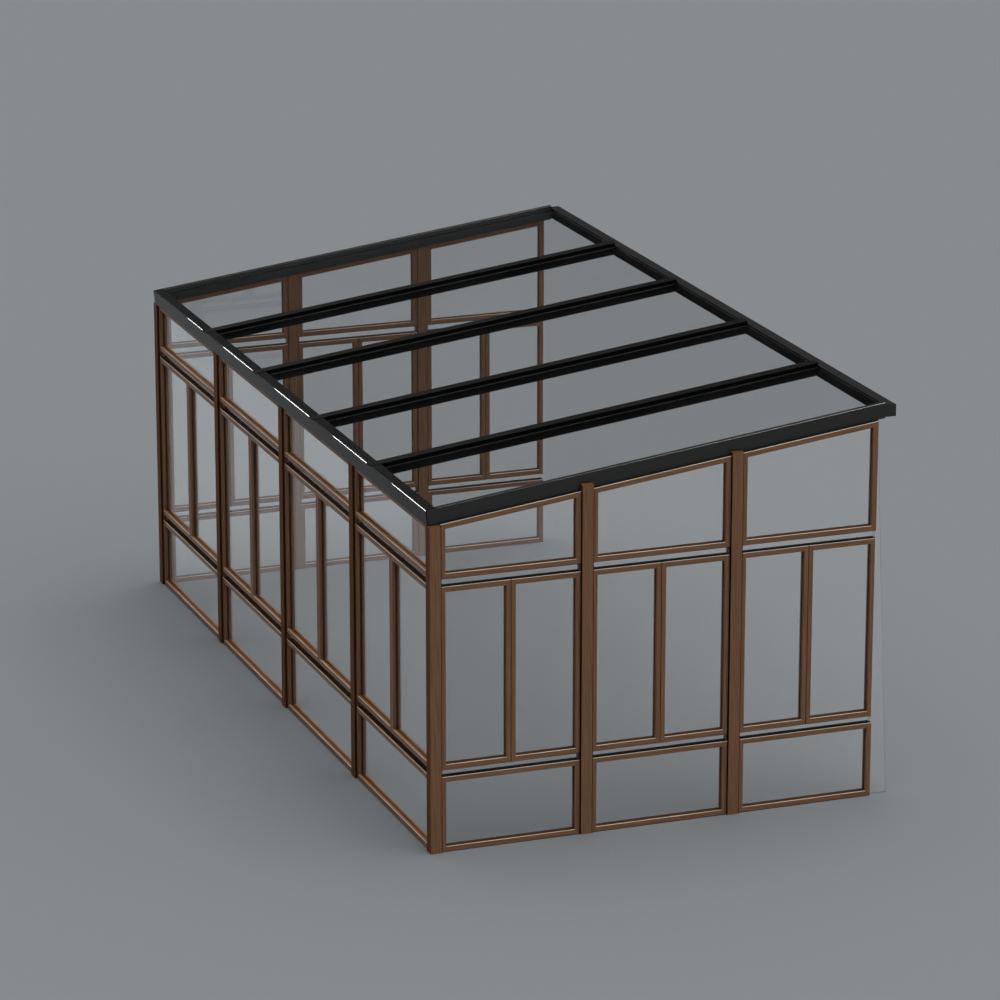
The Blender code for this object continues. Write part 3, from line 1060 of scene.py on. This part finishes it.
            # Dark strips on the frames' top and underside faces along the clear strips: painted shade.
            for level, turn in levels:
                heights = sorted((level + turn * self.hair, level + turn * self.strip))
                for depths in (outer, inner):
                    add_bar(bm, place, (s.jamb + self.clear, end), depths, heights)
            seam = (width / 2 - seam_half, width / 2 + seam_half)
            add_bar(bm, place, seam, (s.arris, seam_depth), upright)
            add_bar(bm, place, seam, (s.frame_depth - seam_depth, s.inner_arris), upright)
            # Beads between the frames and the posts: painted shade in the recess.
            beads = [(-self.tuck, self.bead, head)]
            if not bay.last:
                beads.append((width - self.bead, width + self.tuck, bay.high.z))
            for start, stop, top in beads:
                add_bar(bm, place, (start, stop), (self.lap - s.setback, -self.hair),
                        (self.clear, top - 2 * self.lap))
            # The line along the foot: a painted contact shadow.
            add_bar(bm, place, (self.bead + self.clear, width - self.bead - self.clear),
                    (-self.strip, -self.hair), (self.tuck, self.bead))
            # The strip on the head frame's top, under the end beam: painted shade.
            if self.wall is not Wall.FRONT:
                depths = (s.arris + self.clear, s.roof_inset - s.setback - self.glass_clear)
                add_bar(bm, place, (self.clear, width - self.clear), depths,
                        (head + self.hair, head + self.strip), s.rise(self.wall))
            add_piece(f"{self.wall.value}_joints_{bay.number}", bm, rubber)


@dataclass
class Roof:
    """Black roof members and their end caps, and the seals along the roof glass."""

    # The end beams' tops and fronts are darker than their sides, as painted shade.
    edge_coat: BlackCoat = BlackCoat()
    # The eave beam's tops and front face are darker than its sides, as painted shade.
    eave_coat: BlackCoat = BlackCoat(
        top_dust_and_painted_light=(0.0100, 0.0105, 0.0110), front_painted_shade=(0.0060, 0.0060, 0.0060), shine=0.03,
    )
    # The wall beam's faces that look out of the front are deep black, as painted shade.
    wall_coat: BlackCoat = BlackCoat(front_painted_shade=DEEP_BLACK, front_roughness=0.7, shine=0.01)
    # The rafters' tops are lighter than their black sides, as painted light.
    bar_coat: BlackCoat = BlackCoat(
        colour=DEEP_BLACK, top_dust_and_painted_light=(0.0090, 0.0090, 0.0085), front_painted_shade=DEEP_BLACK,
        roughness=(0.50, 0.60), shine=0.01,
    )
    dull_ends: tuple[float, float] = (-3.33, -2.85)
    sizes: Sizes = SIZES
    rafters: int = 4
    panes: int = 5
    bite: float = 0.012
    seal_width: float = 0.003
    seal_height: float = 0.003
    cap_inset: float = 0.0006
    wall_corner: float = 0.0035
    gasket: tuple[float, float] = (0.0001, 0.0004)
    eave_cap: tuple[float, float] = (0.0005, 0.0011)
    wall_cap: tuple[float, float] = (0.0001, 0.0008)
    tuck: float = 0.0002
    hair: float = 0.00005

    def dress_members(self) -> Material:
        """Puts the coats on the beams and the rafters.

        Returns:
            The end beams' coat, which the caps share.
        """
        edge_coat = self.edge_coat.paint("black_edge_coat")
        dull_from = [*self.dull_ends, *self.heads()]
        dress(["eave_beam"], self.eave_coat.paint("black_eave_coat", dull_from))
        dress(self.edges(), edge_coat)
        dress(["wall_beam"], self.wall_coat.paint("black_wall_coat"))
        dress(self.bars(), self.bar_coat.paint("black_bar_coat"))
        return edge_coat

    def edges(self) -> list[str]:
        """Names of the members along the roof's ends."""
        return ["left_end_beam", "right_end_beam"]

    def heads(self) -> list[float]:
        """Where along the eave the rafters' middles are."""
        boxes = [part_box(name) for name in self.bars()]
        return [(low.x + high.x) / 2 for low, high in boxes]

    def bars(self) -> list[str]:
        """Names of the rafters between the panes."""
        return [f"rafter_{n}" for n in range(1, self.rafters + 1)]

    def eave_outline(self, front: float, corner: float) -> list[Point2]:
        """Outline of a plate on the eave beam's end.

        Args:
            front: where it starts behind the beam's outer face.
            corner: size of its cut corner at the top.

        Returns:
            Points as (up the slope, square to the slope).
        """
        inset, tan = self.cap_inset, math.tan(self.sizes.slope)
        top, back = self.sizes.beam_depth - inset, self.sizes.eave_width - inset
        return [(front, inset - front * tan), (back, inset - back * tan), (back, top),
                (front + corner, top), (front, top - corner)]

    def add_caps(self, rubber: Material, coat: Material) -> None:
        """Closes the ends of the eave beam and the wall beam with thin caps on gaskets.

        Args:
            rubber: finish of the gaskets.
            coat: finish of the caps.
        """
        s = self.sizes
        sin, cos = math.sin(s.slope), math.cos(s.slope)
        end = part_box("eave_beam")[1].x
        low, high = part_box("wall_beam")
        inset, cut = self.cap_inset, self.wall_corner
        wall_plate = [(low.y + cut, low.z + inset), (high.y - inset, low.z + inset),
                      (high.y - inset, high.z - cut), (high.y - cut, high.z - inset),
                      (low.y + cut, high.z - inset), (low.y + inset, high.z - cut),
                      (low.y + inset, low.z + cut)]
        under_cap = self.eave_outline(front=inset, corner=0.0055)
        cap = self.eave_outline(front=0.0070, corner=0.0004)
        for wall, side in ((Wall.LEFT, -1.0), (Wall.RIGHT, 1.0)):

            def at_eave(t: float, u: float, h: float) -> Point3:
                """Turns (out of the end, up the slope, square to it) into the building."""
                return (side * (end + t), START_Y + u * cos - h * sin, s.eave + u * sin + h * cos)

            def at_wall(t: float, y: float, z: float) -> Point3:
                """Turns (out of the end, y, z) into the building."""
                return (side * (end + t), y, z)

            add_plate(f"{wall.value}_eave_gasket", under_cap, self.gasket, at_eave, rubber)
            add_plate(f"{wall.value}_eave_cap", cap, self.eave_cap, at_eave, coat)
            add_plate(f"{wall.value}_wall_beam_cap", wall_plate, self.wall_cap, at_wall, coat)

    def add_seals(self, rubber: Material) -> None:
        """Adds a seal round the top and the underside of each roof pane.

        Args:
            rubber: their finish.
        """
        glass, slope = self.sizes.glass, self.sizes.slope
        sin, cos = math.sin(slope), math.cos(slope)
        w, h, tuck, hair = self.seal_width, self.seal_height, self.tuck, self.hair
        over = glass + hair
        top = [(-tuck, over + h), (w * 0.5, over + h * 0.85), (w, over), (-tuck, over)]
        under = [(-tuck, -h), (w * 0.5, -h * 0.85), (w, -hair), (-tuck, -hair)]
        for number in range(1, self.panes + 1):
            low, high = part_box(f"roof_glass_{number}")
            foot, start = low.y + glass * sin, self.bite / cos
            length = (high.y - foot) / cos - start

            def place(a: float, d: float, u: float) -> Point3:
                """Turns (across, height over the pane's underside, up the slope) into the building."""
                return (a, foot + u * cos - d * sin, low.z + u * sin + d * cos)

            bm = bmesh.new()
            corners = rectangle(low.x + self.bite, high.x - self.bite, start, length)
            for section in (top, under):
                sweep_round(bm, corners, section, place)
            add_piece(f"roof_seals_{number}", bm, rubber)


class LampKind(Enum):
    """What a lamp does."""

    WHOLE = "lights and shows in glossy surfaces"
    SOFT = "lights without glints"
    GLINTS = "shows in glossy surfaces only"


@dataclass
class Studio:
    """Floor, soft lamps and the camera at the photo's viewing angle."""

    lens: float = 165.324
    sensor: float = 36.0
    eye: Point3 = (31.8320, -11.8434, 11.6511)
    azimuth: float = math.radians(69.5757)
    elevation: float = math.radians(16.6855)
    floor: StudioFloor = StudioFloor()
    floor_reach: float = 400.0
    sky: float = 0.03
    dark_sky: float = 0.015
    lamp_distance: float = 20.0
    lamp_colour: Colour = (1.0, 0.99, 0.98)

    def add_camera(self) -> None:
        """Adds the camera."""
        data = bpy.data.cameras.new("camera")
        data.lens = self.lens
        data.sensor_width = self.sensor
        data.clip_start = 0.5
        data.clip_end = 1500.0
        camera = bpy.data.objects.new("camera", data)
        cos = math.cos(self.elevation)
        forward = Vector((-math.sin(self.azimuth) * cos, math.cos(self.azimuth) * cos,
                          -math.sin(self.elevation)))
        camera.location = self.eye
        camera.rotation_mode = "QUATERNION"
        camera.rotation_quaternion = forward.to_track_quat("-Z", "Y")
        bpy.context.scene.collection.objects.link(camera)
        bpy.context.scene.camera = camera

    def add_floor(self) -> None:
        """Adds the floor."""
        bm = bmesh.new()
        bmesh.ops.create_grid(bm, x_segments=1, y_segments=1, size=self.floor_reach)
        mesh = bpy.data.meshes.new("studio_floor")
        bm.to_mesh(mesh)
        bm.free()
        mesh.materials.append(self.floor.paint("studio_floor"))
        floor = bpy.data.objects.new("studio_floor", mesh)
        bpy.context.scene.collection.objects.link(floor)

    def add_sky(self) -> None:
        """Sets a plain grey sky that lights evenly."""
        world = bpy.data.worlds.new("sky")
        bpy.context.scene.world = world
        world.use_nodes = True
        tree = world.node_tree
        background = tree.nodes["Background"]
        background.inputs[0].default_value = (0.94, 0.97, 1.0, 1.0)
        path = tree.nodes.new("ShaderNodeLightPath")
        level = tree.nodes.new("ShaderNodeMapRange")
        level.inputs[3].default_value = self.sky
        level.inputs[4].default_value = self.dark_sky
        tree.links.new(path.outputs["Is Glossy Ray"], level.inputs[0])
        tree.links.new(level.outputs[0], background.inputs[1])

    def add_lamp(self, name: str, towards: Vector, spread: float, power: float, kind: LampKind) -> None:
        """Adds a broad soft lamp that lights the whole floor alike.

        Args:
            name: its name.
            towards: direction from the building to the lamp.
            spread: how wide the lamp looks from the building, in degrees.
            power: light that it sheds, in watts a square metre.
            kind: what the lamp does.
        """
        data = bpy.data.lights.new(name, "SUN")
        data.angle = math.radians(spread)
        data.energy = power
        data.color = self.lamp_colour
        lamp = bpy.data.objects.new(name, data)
        lamp.location = towards * self.lamp_distance
        lamp.rotation_mode = "QUATERNION"
        lamp.rotation_quaternion = (-towards).to_track_quat("-Z", "Y")
        lamp.visible_diffuse = kind is not LampKind.GLINTS
        lamp.visible_glossy = kind is not LampKind.SOFT
        bpy.context.scene.collection.objects.link(lamp)

    def build(self) -> None:
        """Builds the whole studio."""
        self.add_camera()
        self.add_floor()
        self.add_sky()
        for name, towards, spread, power, kind in (
            ("top_lamp", (-0.06, 0.10, 0.99), 60.0, 1.05, LampKind.WHOLE),
            ("dome_lamp", (-0.05, 0.22, 0.974), 115.0, 2.00, LampKind.SOFT),
            ("side_lamp", (0.81, 0.47, 0.34), 40.0, 0.22, LampKind.SOFT),
            ("far_lamp", (-0.898, -0.09, 0.43), 10.0, 2.2, LampKind.GLINTS),
            ("high_lamp", (-0.431, 0.334, 0.838), 12.0, 1.5, LampKind.GLINTS),
            ("near_lamp", (0.287, 0.334, 0.898), 16.0, 6.5, LampKind.GLINTS),
        ):
            self.add_lamp(name, Vector(towards), spread, power, kind)
        bpy.context.scene.view_settings.view_transform = "Standard"
        LOG.info("studio ready")


@dataclass(frozen=True)
class Posts:
    """The brown posts of the three walls."""

    # The posts' tops and front faces are darker than their sides, as painted shade.
    coat: WoodCoat = WoodCoat(
        painted_light_up=(0.190, 0.078, 0.030), painted_shade_front=(0.190, 0.074, 0.026), shine=0.012,
    )

    def dress(self) -> None:
        """Puts the coating on the posts."""
        names = ["corner_post_left", "corner_post_right"]
        for wall in Wall:
            names += [f"{wall.value}_post_{n}" for n in range(1, SIZES.bays(wall))]
        dress(names, self.coat.upright("brown_posts"))


@dataclass(frozen=True)
class Glazing:
    """The glass of the walls, the roof and the far closing pane."""

    front: ClearGlass = ClearGlass(haze=0.006, mirror=0.62)
    ends: ClearGlass = ClearGlass(haze=0.006, high_haze=0.004, high_mirror=1.25)
    roof: ClearGlass = ClearGlass(tint=(0.974, 0.980, 0.981), haze=0.002, mirror=0.5)
    closing: ClearGlass = ClearGlass(haze=0.001, mirror=0.35, edge_cover=0.15)

    def dress(self, roof_panes: int) -> None:
        """Puts the glass on its panes, by the way that they face.

        Args:
            roof_panes: number of panes in the roof.
        """
        slope = SIZES.slope
        sideways = Vector((1.0, 0.0, 0.0))
        front = self.front.paint("glass_front", Vector((0.0, 1.0, 0.0)))
        ends = self.ends.paint("glass_ends", sideways)
        roof = self.roof.paint("glass_roof", Vector((0.0, -math.sin(slope), math.cos(slope))))
        for wall in Wall:
            numbers = range(1, SIZES.bays(wall) + 1)
            dress([f"{wall.value}_glass_{n}" for n in numbers], front if wall is Wall.FRONT else ends)
        dress(["right_closing_pane"], ends)
        dress(["left_closing_pane"], self.closing.paint("glass_closing", sideways))
        dress([f"roof_glass_{n}" for n in range(1, roof_panes + 1)], roof)


def main() -> None:
    """Builds the studio, dresses the frame and adds the pieces of finer shape."""
    logging.basicConfig(level=logging.INFO, format="%(name)s: %(message)s")
    Studio().build()
    Posts().dress()
    # The end walls' frames are much darker where they look up, as painted shade.
    wood, end_wood = WoodCoat(), WoodCoat(painted_light_up=(0.110, 0.034, 0.006), shine=0.06)
    front = [wood.frames(f"brown_front_{row.value}", Wall.FRONT, row) for row in Row]
    ends = [end_wood.frames(f"brown_end_{row.value}", Wall.RIGHT, row) for row in Row]
    black = Rubber().paint("black_rubber")
    brown = Rubber((0.060, 0.030, 0.016), (0.085, 0.045, 0.025)).paint("brown_rubber")
    # The front wall's strips are dark brown: painted shade of the wood's faces between the rows.
    brown_painted_shade = Rubber((0.060, 0.022, 0.007), (0.080, 0.030, 0.010)).paint("brown_rubber_painted_shade")
    for wall in Wall:
        glazed = WindowWall(wall)
        glazed.add_frames(*(front if wall is Wall.FRONT else ends))
        glazed.add_seals(brown)
        glazed.add_joints_and_painted_shade(brown_painted_shade if wall is Wall.FRONT else black)
    roof = Roof()
    edge_coat = roof.dress_members()
    roof.add_seals(black)
    roof.add_caps(black, edge_coat)
    Glazing().dress(roof.panes)


if __name__ == "__main__":
    main()
